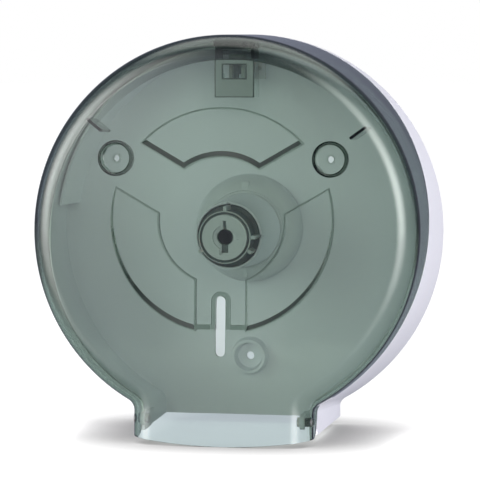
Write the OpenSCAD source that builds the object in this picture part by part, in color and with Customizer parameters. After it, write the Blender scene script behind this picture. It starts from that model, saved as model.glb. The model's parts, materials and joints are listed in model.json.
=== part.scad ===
// Wall-mounted dispenser for one jumbo toilet roll: a white housing, a smoke cover
// that hinges down at its lower edge, a free-turning spindle and a key latch at the top.
// Frame: the wall is the plane y = 0, the room is towards -Y, +Z is up, and the
// spindle axis meets the wall at the origin. All lengths are in millimetres.

/* [Drum] */
// Outer radius of the drum where the front rounding starts
drum_r = 134; // [130:1:142]
// Depth from the front face to the wall along the drum axis
body_depth = 111; // [108:1:120]
// Radius gained by the side wall from the front rounding back to the wall
wall_flare = 5; // [3:0.5:6]
// Angle by which the drum axis dips towards the wall
lean = 2.75; // [1.5:0.25:3.5]
// Height of the drum centre above the spindle axis, at the front rounding
front_rise = 4; // [2:0.5:5]
// Radius of the rounding round the front face
face_round = 15; // [11:0.5:17]

/* [Chute] */
// Half width of the paper chute at the front rounding
chute_half_w = 62.3; // [56:0.5:68]
// Half width gained by the chute from the front rounding back to the wall
chute_flare = 2.7; // [1:0.1:3.5]
// How far the corners of the front lip hang below the drum
chute_reach = 6.4; // [6:0.2:14]
// How far the middle of the front lip bows below its corners
lip_bow = 5.5; // [2:0.5:8]
// Radius of the inside corner where the drum meets the chute
junction_round = 8; // [5:0.5:11]

/* [Walls] */
// Wall thickness of the smoke cover
cover_wall = 2.5; // [2:0.1:3.2]
// Wall thickness of the housing sides
housing_wall = 3; // [2.4:0.1:3.6]
// Thickness of the back plate
plate_t = 3; // [2.5:0.1:4]
// Gap between the cover and the housing along the parting line
parting_gap = 0.5; // [0.4:0.1:1]

/* [Parting line] */
// Depth of the cover skirt behind the rounding, at the top of the drum
skirt_top = 84; // [76:1:86]
// Depth of the cover skirt behind the rounding, at the drum centre
skirt_mid = 34; // [30:1:38]
// Depth of the cover skirt behind the rounding, at the chute corners
skirt_low = 10; // [9:0.5:12]

/* [Cover face] */
// Inner radius of the ring of sunk panels
panel_r_in = 44; // [40:1:48]
// Outer radius of the ring of sunk panels
panel_r_out = 76; // [70:1:82]
// Height of the panel ring centre above the drum centre
panel_rise = 7.5; // [4:0.5:10]
// Width of the three flat spokes between the sunk panels
spoke_w = 36; // [30:1:42]
// Depth to which the panels are sunk
panel_sink = 2; // [1:0.25:2.5]
// Width of the level slot
slot_w = 7; // [5:0.5:9]
// Length of the level slot
slot_len = 41; // [34:1:46]
// Distance from the drum centre down to the middle of the level slot
slot_drop = 64; // [60:1:70]
// Width of the sunk rim round the upper part of the level slot
slot_rim_w = 13.6; // [12:0.4:16]
// Distance of each gate well from the centre line
well_x = 74; // [71:0.5:80]
// Height of the gate wells above the drum centre
well_z = 49.5; // [44:0.5:54]
// Radius of a gate well
well_r = 10; // [9:0.2:12]
// Depth of a gate well
well_depth = 6; // [4:0.5:7]
// Radius of the raised ring in the middle of a gate well
well_ring_r = 3.4; // [3:0.2:4]
// Radius of the hole in the middle of a gate well
well_hole_r = 2.2; // [1.6:0.1:2.4]
// Thickness of the stiffening ribs in the cover
rib_t = 2; // [1.6:0.2:2.6]

/* [Hinge] */
// Distance from the front face back to the hinge axis
hinge_back = 12; // [11.5:0.25:13]
// Height of the hinge axis above the corners of the front lip
hinge_up = 11.8; // [11:0.2:13]
// Radius of a hinge pin
pin_r = 2; // [1.6:0.1:2.4]
// Radial running clearance of a hinge pin in its bush
pin_clear = 0.06; // [0.04:0.01:0.1]
// Wall thickness of a hinge bush
bush_wall = 1; // [0.8:0.1:1.4]
// Radius of the head of a hinge pin
pin_head_r = 3.2; // [2.8:0.1:3.6]
// Thickness of a hinge ear
ear_t = 3; // [2.4:0.2:3.6]
// Gap between a hinge ear and the rounding inside the cover
ear_gap = 0.6; // [0.5:0.1:1]
// Radius of the round front end of a hinge ear
ear_r = 5; // [4.4:0.2:5.4]

/* [Spindle] */
// Radius of the foot of the spindle mount on the back plate
foot_r = 38.5; // [36:0.5:42]
// Radius of the spindle mount where its foot meets the sleeve
root_r = 27.5; // [27:0.25:30]
// Distance from the wall to the root of the sleeve
root_out = 25; // [20:1:30]
// Radius of the fixed post inside the sleeve
post_r = 20; // [19:0.1:20.4]
// Wall thickness of the post and of the foot
post_wall = 3; // [2.5:0.1:3.4]
// Outer radius of the sleeve at its root
sleeve_root_r = 26; // [25:0.25:26.75]
// Outer radius of the sleeve at its front end
sleeve_tip_r = 23.3; // [23:0.1:24.5]
// Wall thickness of the sleeve
sleeve_wall = 1.6; // [1.2:0.1:1.8]
// Distance from the front face back to the front end of the sleeve
sleeve_gap = 28; // [26:1:31]
// Radial running clearance of the sleeve on the post
sleeve_clear = 0.08; // [0.05:0.01:0.1]
// Thickness of the friction washer behind the sleeve
washer_t = 1.2; // [0.8:0.1:2]
// Radius of the retainer plug
plug_r = 18.1; // [17.6:0.1:18.6]
// Distance from the front face back to the front of the retainer plug
plug_gap = 14; // [13:0.5:17]
// Radius of the disc in the front of the plug
disc_r = 15.6; // [14.5:0.1:16]
// Radius of the access hole through the plug
access_r = 5.2; // [4:0.2:6]

/* [Wall fixing] */
// Radius of a wall screw hole
screw_hole_r = 2.9; // [2.3:0.1:3.2]
// Distance from the spindle axis down to the lower wall screw
lower_screw_drop = 92.5; // [88:0.5:95]
// Radius of the cup round the lower wall screw, at the back plate
cup_r = 13.7; // [12:0.1:15]
// Height of the cup above the back plate
cup_h = 8; // [5:0.5:10]

/* [Latch] */
// Half width of the lock case
case_half_w = 13.8; // [13:0.1:15]
// Depth of the lock case from front to back
case_depth = 20; // [18:0.5:22]
// Distance from the wall to the front plate of the lock case
case_out = 61; // [58:0.5:64]
// Distance from the top of the drum down to the top of the lock case
case_drop = 7; // [6.5:0.25:8]
// Height of the lock case
case_h = 36.5; // [36:0.25:37.5]
// Wall thickness of the lock case
case_wall = 2; // [1.6:0.1:2.2]
// Thickness of the lock plate
lock_plate_t = 1.5; // [1.2:0.1:1.8]
// Half width of the window in the lock plate
window_half_w = 8; // [7:0.5:8.5]
// Height of the window in the lock plate
window_h = 9.2; // [8:0.2:10]
// Thickness of the keeper arm
keeper_t = 3.2; // [2.6:0.2:3.6]
// How far the latch tongue rises from released to locked
latch_travel = 4; // [3:0.25:4.5]
// Clearance that lets the released tongue pass under the keeper tooth
latch_clear = 1.9; // [1.8:0.1:2.2]
// Wire diameter of the latch spring
spring_wire = 0.7; // [0.5:0.1:0.8]
// Mean radius of the latch spring
spring_r = 2.8; // [2.4:0.1:3]
// Number of turns of the latch spring
spring_turns = 5; // [4:1:6]
// Radius of the key hole in the key guide
key_r = 2.2; // [1.8:0.1:2.6]
// Wall thickness of the key guide
key_guide_wall = 1.8; // [1.4:0.1:2.2]

/* [Screws] */
// Shank radius of the small screws
screw_r = 1.5; // [1.2:0.1:1.6]
// Head radius of the small screws
screw_head_r = 2.4; // [2.1:0.1:2.5]
// Head height of the small screws
screw_head_h = 1.4; // [1:0.1:1.6]
// Radial clearance of the small screws in their holes
screw_clear = 0.05; // [0.03:0.01:0.1]

/* [Hidden] */
fn_big = 180;
fn_mid = 96;
fn_small = 48;
eps = 0.5;      // overrun of a cutting solid past a face
far = 400;      // reach of a half space

white = [0.89, 0.90, 0.93];
smoke = [0.42, 0.50, 0.49, 0.55];
grey = [0.30, 0.33, 0.34];
steel = [0.75, 0.76, 0.78];
felt = [0.45, 0.44, 0.42];

// ---- drum frame: y runs back along the leaning drum axis, z up the face ----
front_y = -(body_depth - face_round);       // world y of the centre of the rounding circle
run_len = body_depth + 12;                  // length of the side wall before it is trimmed
flare_slope = wall_flare / (body_depth - face_round);
chute_slope = chute_flare / (body_depth - face_round);
chute_drop = drum_r + chute_reach;          // drum centre down to the corners of the front lip
hinge_drop = chute_drop - hinge_up;
plug_out = body_depth - plug_gap;
sleeve_out = body_depth - sleeve_gap;
case_top_z = front_rise + drum_r - case_drop;
case_floor_z = case_top_z - case_h;
function radius_at(depth) = drum_r + flare_slope * depth;
function chute_w_at(depth) = chute_half_w + chute_slope * depth;
// world position of a point of the drum frame
function world_y(y, z) = front_y + y * cos(lean) + z * sin(lean);
function world_z(y, z) = front_rise - y * sin(lean) + z * cos(lean);

module in_drum() translate([0, front_y, front_rise]) rotate([-lean, 0, 0]) children();
module spin_back(n = fn_big) rotate([-90, 0, 0]) rotate_extrude($fn = n) children();
module spin_out(n = fn_mid) rotate([90, 0, 0]) rotate_extrude($fn = n) children();
module rod_x(r, x0, x1, n = fn_small)
    translate([min(x0, x1), 0, 0]) rotate([0, 90, 0]) cylinder(r = r, h = abs(x1 - x0), $fn = n);
module rod_out(r, y0, y1, n = fn_small)      // along y, from the larger y to the smaller
    translate([0, max(y0, y1), 0]) rotate([90, 0, 0]) cylinder(r = r, h = abs(y1 - y0), $fn = n);
module block(x, y, z)                        // each a [low, high] pair
    translate([x[0], y[0], z[0]]) cube([x[1] - x[0], y[1] - y[0], z[1] - z[0]]);

// ---- parting surface: part of a cylinder through three heights of the side view ----
part_low = [skirt_low, -chute_drop];
part_mid = [skirt_mid, 0];
part_top = [skirt_top, drum_r];
function circle_centre(a, b, c) =
    let (d = 2 * (a[0] * (b[1] - c[1]) + b[0] * (c[1] - a[1]) + c[0] * (a[1] - b[1])),
         qa = a * a, qb = b * b, qc = c * c)
    [(qa * (b[1] - c[1]) + qb * (c[1] - a[1]) + qc * (a[1] - b[1])) / d,
     (qa * (c[0] - b[0]) + qb * (a[0] - c[0]) + qc * (b[0] - a[0])) / d];
part_c = circle_centre(part_low, part_mid, part_top);
part_r = norm(part_mid - part_c);
module behind_parting(extra = 0)
    translate([0, part_c[0], part_c[1]]) rod_x(part_r + extra, -far, far, 360);

// ---- shell solids, grown or shrunk by one wall value ----
module drum_profile(t) {
    r = drum_r - t;
    f = face_round - t;
    polygon([[0, -f], [r - f, -f], [r - f, 0], [r, 0],
             [r + flare_slope * run_len, run_len], [0, run_len]]);
    translate([r - f, 0]) intersection() {
        circle(f, $fn = fn_mid);
        translate([0, -f]) square(f);
    }
}
module chute_plan(t) {
    w = chute_half_w - t;
    f = face_round - t;
    polygon([[-w, 0], [-(w - f), 0], [-(w - f), -f], [w - f, -f], [w - f, 0], [w, 0],
             [w + chute_slope * run_len, run_len], [-(w + chute_slope * run_len), run_len]]);
    for (s = [-1, 1]) translate([s * (w - f), 0]) intersection() {
        circle(f, $fn = fn_mid);
        translate([s > 0 ? 0 : -f, -f]) square(f);
    }
}
// filler of the inside corner between drum and chute, seen from the front
module junction_plan(t) {
    r = drum_r - t;
    w = chute_half_w - t;
    q = junction_round + t;
    cx = w + q;
    cz = sqrt((r + q) * (r + q) - cx * cx);
    a0 = 180;
    a1 = 180 + atan2(cz, cx);
    steps = 10;
    dip = 0.02;                              // ends of the arc lie just inside its neighbours
    arc = [for (i = [0:steps]) let (a = a0 + (a1 - a0) * i / steps)
           [cx + (q + dip) * cos(a), cz + (q + dip) * sin(a)]];
    polygon(concat([[w - 4, cz]], arc, [[w - 4, cz * 0.9]]));
}
module junctions(t)
    for (s = [0, 1]) mirror([s, 0, 0]) rotate([-90, 0, 0])
        linear_extrude(height = run_len, scale = radius_at(run_len) / drum_r) junction_plan(t);
module shell_solid(t, drop) {
    spin_back() drum_profile(t);
    translate([0, 0, -drop]) linear_extrude(height = drop - drum_r * 0.6) chute_plan(t);
    junctions(t);
}

// ---- hinge places in the drum frame ----
hinge_y = hinge_back - face_round;
round_in = face_round - cover_wall;                    // radius of the rounding inside the cover
ear_front = -hinge_y + ear_r + ear_gap;                // reach of an ear in front of the rounding centre
// outer face of an ear: its round end clears the inside rounding of the cover
ear_x1 = chute_half_w - face_round + sqrt(round_in * round_in - ear_front * ear_front);
ear_x0 = ear_x1 - ear_t;
bush_r = pin_r + pin_clear + bush_wall;
module at_hinge() in_drum() translate([0, hinge_y, -hinge_drop]) children();
swing_r = skirt_low - hinge_y - parting_gap;           // reach of the cover behind the axis

// ---- rear housing ----
lip_overhang = 0.8;                                    // the lip corners hang this far below
housing_bottom_z = world_z(0, -chute_drop) + lip_overhang;
swing_room = 4;                                        // relief behind and above the swinging lip
notch_top = 6;
module housing_shell() difference() {
    intersection() {
        in_drum() shell_solid(0, chute_drop + 20);
        in_drum() behind_parting();
        block([-far, far], [-far, 0], [housing_bottom_z, far]);
    }
    intersection() {
        in_drum() shell_solid(housing_wall, chute_drop + 30);
        block([-far, far], [-far, -plate_t], [-far, far]);
    }
    // relief for the swing of the lower lip
    at_hinge() block([-far, far], [-far, swing_r + swing_room], [-far, -notch_top]);
}
// one ear: round end on the hinge axis, an arm running back, and a foot on the chute wall
ear_arm = 25;                                          // length of the arm behind the hinge axis
ear_low = 3.2;                                         // depth of the arm below the hinge axis
ear_foot_y = swing_r + parting_gap + 1.5;
module ear_right() difference() {
    at_hinge() difference() {
        union() {
            rod_x(ear_r, ear_x0, ear_x1);
            block([ear_x0, ear_x1], [0, ear_arm], [-ear_low, ear_r]);
            block([ear_x0, chute_w_at(0)], [ear_foot_y, ear_arm], [-ear_low, ear_r]);
        }
        rod_x(pin_r, 0, drum_r);
    }
    // nothing of the ear passes out through the chute wall
    difference() {
        in_drum() block([0, far], [-far, far], [-far, far]);
        in_drum() translate([0, 0, -chute_drop - face_round]) linear_extrude(height = drum_r)
            chute_plan(housing_wall / 2);
    }
}
cup_taper = 1.6;
cup_wall = 1.8;
module lower_cup() translate([0, 0, -lower_screw_drop]) spin_out()
    polygon([[0, plate_t / 2], [cup_r, plate_t / 2], [cup_r, plate_t], [cup_r - cup_taper, plate_t + cup_h],
             [cup_r - cup_taper - cup_wall, plate_t + cup_h],
             [cup_r - 2 * cup_taper - cup_wall, plate_t], [0, plate_t]]);
mount_screw_in = 8;
mount_screw_ring = foot_r - post_wall - mount_screw_in;            // radius of the circle of mount screws
mount_screw_angles = [90, 210, 330];
keeper_foot_low = 12;                                  // height of the keeper foot above the case floor
keeper_foot_h = 16;
keeper_foot_z = [case_floor_z + keeper_foot_low, case_floor_z + keeper_foot_low + keeper_foot_h];
keeper_screw_x = 8;
module at_keeper_screws()
    for (s = [-1, 1]) translate([s * keeper_screw_x, 0, (keeper_foot_z[0] + keeper_foot_z[1]) / 2]) children();
module rear_housing() color(white) difference() {
    union() {
        housing_shell();
        for (s = [0, 1]) mirror([s, 0, 0]) ear_right();
        lower_cup();
    }
    translate([0, 0, -lower_screw_drop]) rod_out(screw_hole_r, eps, -plate_t - eps);
    rod_out(screw_hole_r, eps, -plate_t - eps);
    at_mount_screws() {
        rod_out(screw_r + screw_clear, eps, -plate_t - eps);
        rod_out(screw_head_r + screw_clear, eps, -screw_head_h);
    }
    at_keeper_screws() {
        rod_out(screw_r + screw_clear, eps, -plate_t - eps);
        rod_out(screw_head_r + screw_clear, eps, -screw_head_h);
    }
}

// ---- front cover ----
lip_r = (chute_half_w * chute_half_w + lip_bow * lip_bow) / (2 * lip_bow);
face_y = -face_round;
spoke_angles = [30, 150, 270];
module ring_sector(r0, r1) difference() {              // ring less its three spokes, front view
    circle(r1, $fn = fn_big);
    circle(r0, $fn = fn_big);
    for (a = spoke_angles) rotate(a) translate([0, -spoke_w / 2]) square([r1 * 2, spoke_w]);
}
module face_plate(y0, y1)                              // a front-view outline made solid from y0 to y1
    translate([0, y1, 0]) rotate([90, 0, 0]) linear_extrude(height = y1 - y0) children();
module slot_cut(w, z_low, z_high, y0, y1) {            // straight sides and true round ends
    block([-w / 2, w / 2], [y0, y1], [z_low + w / 2, z_high - w / 2]);
    for (z = [z_low + w / 2, z_high - w / 2]) translate([0, 0, z]) rod_out(w / 2, y0, y1);
}
panel_edge_z = panel_rise - sqrt(panel_r_out * panel_r_out - spoke_w * spoke_w / 4);
slot_top = -slot_drop + slot_len / 2;
slot_low = -slot_drop - slot_len / 2;
slot_sink = cover_wall * 0.5;
slot_rim_over = 3.4;                                   // sunk rim above the end of the slot
well_wall = 2.2;
well_ring_h = 0.8;
inner_face_y = face_y + cover_wall;
key_hole_r = key_r + key_guide_wall;
pad_y = [-case_out, -case_out + case_depth];
cover_rib_angles = [36, 141];
rib_run = 14;                                          // how far the ribs run back past the rounding
rib_in = [13, 26];                                     // their two ends, from the side wall inwards
module cover_shell() difference() {
    in_drum() difference() {
        intersection() {
            shell_solid(0, chute_drop + lip_bow + 5);
            translate([0, -face_round - eps, -chute_drop - lip_bow + lip_r])
                rotate([-90, 0, 0]) cylinder(r = lip_r, h = far, $fn = 720);
        }
        shell_solid(cover_wall, chute_drop + lip_bow + 20);
        behind_parting(parting_gap);
        // lower rear corners rounded off about the hinge axis
        translate([0, hinge_y, -hinge_drop]) difference() {
            block([-far, far], [0, far], [-far, 0]);
            rod_x(swing_r, -far, far, fn_mid);
        }
    }
}
module cover_back_features() {
    // reverse of the sunk panels and of the wells, which keeps the wall thickness
    translate([0, 0, panel_rise]) face_plate(inner_face_y - eps, inner_face_y + panel_sink)
        ring_sector(panel_r_in - cover_wall, panel_r_out + cover_wall);
    for (s = [-1, 1]) translate([s * well_x, 0, well_z])
        rod_out(well_r + well_wall, inner_face_y - eps, face_y + well_depth + cover_wall);
    // ribs that stiffen the rounding
    for (a = cover_rib_angles) rotate([0, -a, 0])
        block([drum_r - rib_in[1], drum_r - rib_in[0]], [inner_face_y - eps, rib_run],
              [-rib_t / 2, rib_t / 2]);
}
module cover_pad() intersection() {
    block([-case_half_w - 1, case_half_w + 1], pad_y, [case_top_z, far]);
    in_drum() spin_back() drum_profile(cover_wall * 0.5);
}
module front_cover() color(smoke) difference() {
    union() {
        cover_shell();
        in_drum() intersection() {
            cover_back_features();
            spin_back() drum_profile(cover_wall * 0.5);
        }
        cover_pad();
    }
    in_drum() {
        translate([0, 0, panel_rise]) face_plate(face_y - eps, face_y + panel_sink)
            ring_sector(panel_r_in, panel_r_out);
        slot_cut(slot_w, slot_low, slot_top, face_y - eps, inner_face_y + panel_sink + eps);
        slot_cut(slot_rim_w, panel_edge_z, slot_top + slot_rim_over, face_y - eps, face_y + slot_sink);
        for (s = [-1, 1]) translate([s * well_x, 0, well_z]) {
            difference() {
                rod_out(well_r, face_y - eps, face_y + well_depth);
                rod_out(well_ring_r, face_y + well_depth - well_ring_h, face_y + well_depth + eps);
            }
            rod_out(well_hole_r, face_y - eps,
                    s > 0 ? face_y + well_depth + cover_wall + eps : face_y + well_depth + well_ring_h);
        }
        for (s = [-1, 1]) translate([0, hinge_y, -hinge_drop]) rod_x(bush_r, 0, s * drum_r);
    }
    translate([0, case_mid_y, 0]) cylinder(r = key_hole_r, h = far, $fn = fn_small);
    at_case_screws() cylinder(r = screw_r + screw_clear, h = case_screw_len + screw_tip_room, $fn = fn_small);
}

// ---- hinge pins and bushes ----
pin_head_t = 2;
seam = 0.3;                                            // gap between parts that don't touch
wall_out_x = chute_half_w - face_round + sqrt(face_round * face_round - hinge_y * hinge_y);
module hinge_pin(s) color(steel) at_hinge() {
    rod_x(pin_r, s * (ear_x0 - eps), s * (wall_out_x - 2 * seam));
    rod_x(pin_head_r, s * (ear_x0 - pin_head_t), s * ear_x0);
}
module hinge_bush(s) color(grey) at_hinge() difference() {
    rod_x(bush_r, s * (ear_x1 + seam), s * (wall_out_x - seam));
    rod_x(pin_r + pin_clear, 0, s * drum_r);
}
module hinge_pin_left() hinge_pin(-1);
module hinge_pin_right() hinge_pin(1);
module hinge_bush_left() hinge_bush(-1);
module hinge_bush_right() hinge_bush(1);

// ---- spindle ----
floor_out = plate_t + 4;
post_out = sleeve_out - 5;
bore_r = post_r - post_wall;
lug_angles = [90, 210, 330];
sleeve_back = root_out + washer_t;
bearing_len = 8;
foot_edge_t = 1.5;
collar_len = 3;                                // straight collar at the root
boss_r = 4;
boss_out = plate_t + 9;
foot_rib_out = 7;
module foot_rib(a, half_w)                     // small upright rib over or under the root
    rotate([0, -a, 0]) block([root_r - 1, root_r + foot_rib_out],
                             [-root_out + collar_len, -plate_t - 4], [-half_w, half_w]);
module at_mount_screws() for (a = mount_screw_angles) rotate([0, -a, 0])
    translate([mount_screw_ring, 0, 0]) children();
module spindle_mount() color(white) difference() {
    union() {
        difference() {
            union() {
                spin_out() polygon([
                    [0, plate_t], [foot_r, plate_t], [foot_r, plate_t + foot_edge_t],
                    [root_r, root_out - collar_len],
                    [root_r, root_out], [post_r, root_out], [post_r, post_out], [0, post_out]]);
                foot_rib(90, 2.8);
                foot_rib(270, 1.6);
            }
            // hollow foot round the post
            spin_out() polygon([
                [post_r, plate_t - eps], [foot_r - post_wall - 1, plate_t - eps],
                [root_r - post_wall, root_out - 2 * collar_len], [post_r, root_out - 2 * collar_len]]);
        }
        at_mount_screws() rod_out(boss_r, -plate_t, -boss_out);
    }
    rod_out(bore_r, -floor_out, -post_out - eps, fn_mid);
    rod_out(screw_hole_r, 0, -floor_out - eps);
    at_mount_screws() rod_out(screw_r + screw_clear, 0, -boss_out + 1);
}
mount_screw_len = 10;
module spindle_mount_screws() color(steel) at_mount_screws() {
    rod_out(screw_r, -screw_head_h + eps, -mount_screw_len);
    rod_out(screw_head_r, 0, -screw_head_h);
}
module friction_washer() color(felt) translate([0, -root_out, 0]) difference() {
    rod_out(sleeve_root_r - 0.5, 0, -washer_t + seam, fn_mid);
    rod_out(post_r + seam, eps, -washer_t - eps, fn_mid);
}
function sleeve_r_at(out) = sleeve_root_r
    + (sleeve_tip_r - sleeve_root_r) * (out - sleeve_back) / (sleeve_out - sleeve_back);
bearing_r = post_r + sleeve_clear;
notch_w = 2.2;
notch_len = 5;
module spindle_sleeve() color(white) difference() {
    spin_out() {
        difference() {
            polygon([[0, sleeve_back], [sleeve_root_r, sleeve_back],
                     [sleeve_tip_r, sleeve_out], [0, sleeve_out]]);
            polygon([[0, sleeve_back - eps], [sleeve_r_at(sleeve_back) - sleeve_wall, sleeve_back - eps],
                     [sleeve_tip_r - sleeve_wall, sleeve_out + eps], [0, sleeve_out + eps]]);
        }
        for (o = [sleeve_back, post_out - bearing_len - seam])
            polygon([[bearing_r, o], [sleeve_r_at(o) - sleeve_wall / 2, o],
                     [sleeve_r_at(o + bearing_len) - sleeve_wall / 2, o + bearing_len],
                     [bearing_r, o + bearing_len]]);
    }
    // notches in the front rim
    for (a = [0, 90]) rotate([0, -a, 0])
        block([sleeve_tip_r - 2 * sleeve_wall, sleeve_tip_r + eps],
              [-sleeve_out - eps, -sleeve_out + notch_len], [-notch_w / 2, notch_w / 2]);
}
stem_len = 12;                                 // stem of the plug inside the post
stem_fit = 0.03;
flange_t = 2;
lug_w = 2.4;
disc_seat = 3;                                 // depth of the seat of the disc
disc_rim = 0.9;                                // dark groove round the disc
flange_r = sleeve_tip_r - sleeve_wall - 2 * seam;
module spindle_retainer() color(grey) difference() {
    union() {
        rod_out(bore_r - stem_fit, -post_out + stem_len, -post_out, fn_mid);
        rod_out(flange_r, -post_out, -post_out - flange_t, fn_mid);
        rod_out(plug_r, -post_out - flange_t, -plug_out, fn_mid);
        for (a = lug_angles) rotate([0, -a, 0])
            block([plug_r - 1, flange_r], [-plug_out + 1, -post_out - 1], [-lug_w / 2, lug_w / 2]);
    }
    rod_out(access_r, -post_out + stem_len + eps, -plug_out - eps);
    rod_out(disc_r + disc_rim, -plug_out + disc_seat, -plug_out - eps, fn_mid);
    // hollow stem behind the front
    rod_out(bore_r - 2, -post_out + stem_len + eps, -plug_out + 2 * disc_seat, fn_mid);
}
recess_r = access_r + 3;
recess_t = 1.6;
recess_y = [-plug_out - 1, -plug_out + recess_t];
arm_up = [1, recess_r + 3.4];                  // half width and reach of each recess arm
arm_down = [2.2, recess_r + 3.4];
arm_side = [1.2, recess_r + 1.8];
module keyhole_disc() color(white) difference() {
    rod_out(disc_r, -plug_out + disc_seat, -plug_out - 0.4, fn_mid);
    rod_out(access_r, 0, -plug_out - 1);
    rod_out(recess_r, recess_y[1], recess_y[0]);
    block([-arm_up[0], arm_up[0]], recess_y, [0, arm_up[1]]);
    block([-arm_down[0], arm_down[0]], recess_y, [-arm_down[1], 0]);
    block([0, arm_side[1]], recess_y, [-arm_side[0], arm_side[0]]);
}

// ---- lock case, latch and keeper ----
case_y = [-case_out + lock_plate_t, -case_out + case_depth];
case_mid_y = -case_out + case_depth / 2;
case_in_w = case_half_w - case_wall;
case_screw_x = case_in_w - screw_head_r - seam;
case_screw_len = 3.4;
case_screw_dy = 3;                                  // case screws behind the middle of the case
screw_tip_room = 0.6;
key_room = 0.4;
module at_case_screws() for (s = [-1, 1])
    translate([s * case_screw_x, case_mid_y + case_screw_dy, case_top_z]) children();
module lock_case() color(smoke) {
    difference() {
        block([-case_half_w, case_half_w], case_y, [case_floor_z, case_top_z]);
        block([-case_in_w, case_in_w], [case_y[0] - eps, case_y[1] + eps],
              [case_floor_z + case_wall, case_top_z - case_wall]);
        translate([0, case_mid_y, case_top_z - case_wall - eps])
            cylinder(r = key_r + key_room, h = case_wall + 2 * eps, $fn = fn_small);
        at_case_screws() translate([0, 0, -case_wall - eps])
            cylinder(r = screw_r + screw_clear, h = case_wall + 2 * eps, $fn = fn_small);
    }
    // guide ribs before and behind the ends of the bolt bar
    for (s = [0, 1], y = [bolt_y[0] - guide_gap - guide_t, bolt_y[1] + guide_gap]) mirror([s, 0, 0])
        block([case_in_w - guide_reach, case_in_w], [y, y + guide_t],
              [case_floor_z + case_wall, bolt_top + latch_travel + 1]);
}
window_drop = 14;                                   // window and plate top below the case top
plate_drop = 10;
window_top = case_top_z - window_drop;
module lock_plate() color(smoke) difference() {
    block([-case_half_w, case_half_w], [-case_out, -case_out + lock_plate_t],
          [case_floor_z, case_top_z - plate_drop]);
    block([-window_half_w, window_half_w], [-case_out - eps, -case_out + lock_plate_t + eps],
          [window_top - window_h, window_top]);
}
module lock_case_screws() color(steel) at_case_screws() {
    translate([0, 0, -case_wall - screw_head_h]) cylinder(r = screw_head_r, h = screw_head_h, $fn = fn_small);
    translate([0, 0, -case_wall - eps])
        cylinder(r = screw_r, h = case_screw_len + case_wall + eps, $fn = fn_small);
}
skirt_top_z = world_z(-case_out - front_y, radius_at(-case_out - front_y));
module key_guide() color(smoke) translate([0, case_mid_y, case_top_z]) difference() {
    cylinder(r = key_hole_r, h = skirt_top_z - case_top_z - 2 * seam, $fn = fn_small);
    translate([0, 0, -eps]) cylinder(r = key_r, h = far, $fn = fn_small);
}

tooth_z = window_top - window_h;                    // lower end of the keeper tooth
tooth_back = 4.5;                                   // tooth behind the lock plate
tooth_t = 3;
web_low = 2.6;                                      // web of the keeper arm above the tooth end
web_h = 7.6;
bolt_gap = 0.5;                                     // bolt behind the tooth
bolt_t = 3.5;
bolt_h = 4;
guide_gap = 0.3;
guide_t = 1.5;
guide_reach = 2.5;
leg_gap = 1.4;
leg_w = 2.5;
head_t = 2.5;
head_room = 0.6;
head_over = [2, 2.5];                               // reach of the head in front of and behind the bolt
tooth_y = [-case_out + lock_plate_t + tooth_back, -case_out + lock_plate_t + tooth_back + tooth_t];
web_z = [tooth_z + web_low, tooth_z + web_low + web_h];
bolt_y = [tooth_y[1] + bolt_gap, tooth_y[1] + bolt_gap + bolt_t];
bolt_top = tooth_z - latch_clear;
leg_x = [keeper_t / 2 + leg_gap, keeper_t / 2 + leg_gap + leg_w];
head_top = case_top_z - case_wall - latch_travel - head_room;
module latch_tongue() color(white) {
    block([-case_in_w + guide_gap, case_in_w - guide_gap], bolt_y, [bolt_top - bolt_h, bolt_top]);
    for (s = [0, 1]) mirror([s, 0, 0]) block(leg_x, bolt_y, [bolt_top - bolt_h, head_top]);
    block([-leg_x[1], leg_x[1]], [bolt_y[0] - head_over[0], bolt_y[1] + head_over[1]],
          [head_top - head_t, head_top]);
}
// helix of round wire with closed ends, as one swept tube
coil_room = 0.1;
spring_low = case_floor_z + case_wall;
spring_len = bolt_top - bolt_h - spring_low;
module latch_spring() color(steel) {
    sides = 6;
    per_turn = 16;
    n = spring_turns * per_turn;
    rise = spring_len - spring_wire - coil_room;
    ring = [for (k = [0:n]) let (a = 360 * k / per_turn, z = spring_wire / 2 + rise * k / n)
            for (j = [0:sides - 1]) let (b = 360 * j / sides, q = spring_r + spring_wire / 2 * cos(b))
                [q * cos(a), q * sin(a), z + spring_wire / 2 * sin(b)]];
    skin = [for (k = [0:n - 1]) for (j = [0:sides - 1]) let (m = (j + 1) % sides)
            [k * sides + j, (k + 1) * sides + j, (k + 1) * sides + m, k * sides + m]];
    translate([0, (bolt_y[0] + bolt_y[1]) / 2, spring_low])
        polyhedron(points = ring, faces = concat([[for (j = [0:sides - 1]) j]], skin,
                   [[for (j = [sides - 1:-1:0]) n * sides + j]]), convexity = 6);
}
keeper_half_w = 12;
keeper_foot_t = 4;
gusset_run = 22;
keeper_foot_y = [-plate_t - keeper_foot_t, -plate_t];
module latch_keeper() color(grey) difference() {
    union() {
        block([-keeper_half_w, keeper_half_w], keeper_foot_y, keeper_foot_z);
        block([-keeper_t / 2, keeper_t / 2], [tooth_y[0], keeper_foot_y[1]], web_z);
        block([-keeper_t / 2, keeper_t / 2], tooth_y, [tooth_z, web_z[1]]);
        // gusset under the arm
        translate([-keeper_t / 2, 0, 0]) rotate([90, 0, 90]) linear_extrude(height = keeper_t)
            polygon([[keeper_foot_y[0], keeper_foot_z[0]], [keeper_foot_y[0], web_z[0] + 1],
                     [keeper_foot_y[0] - gusset_run, web_z[0] + 1], [keeper_foot_y[0] - gusset_run, web_z[0]]]);
    }
    at_keeper_screws() rod_out(screw_r + screw_clear, 0, -plate_t - keeper_foot_t - eps);
}
module keeper_screws() color(steel) at_keeper_screws() {
    rod_out(screw_r, -screw_head_h + eps, -plate_t - keeper_foot_t + eps);
    rod_out(screw_head_r, 0, -screw_head_h);
}

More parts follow.
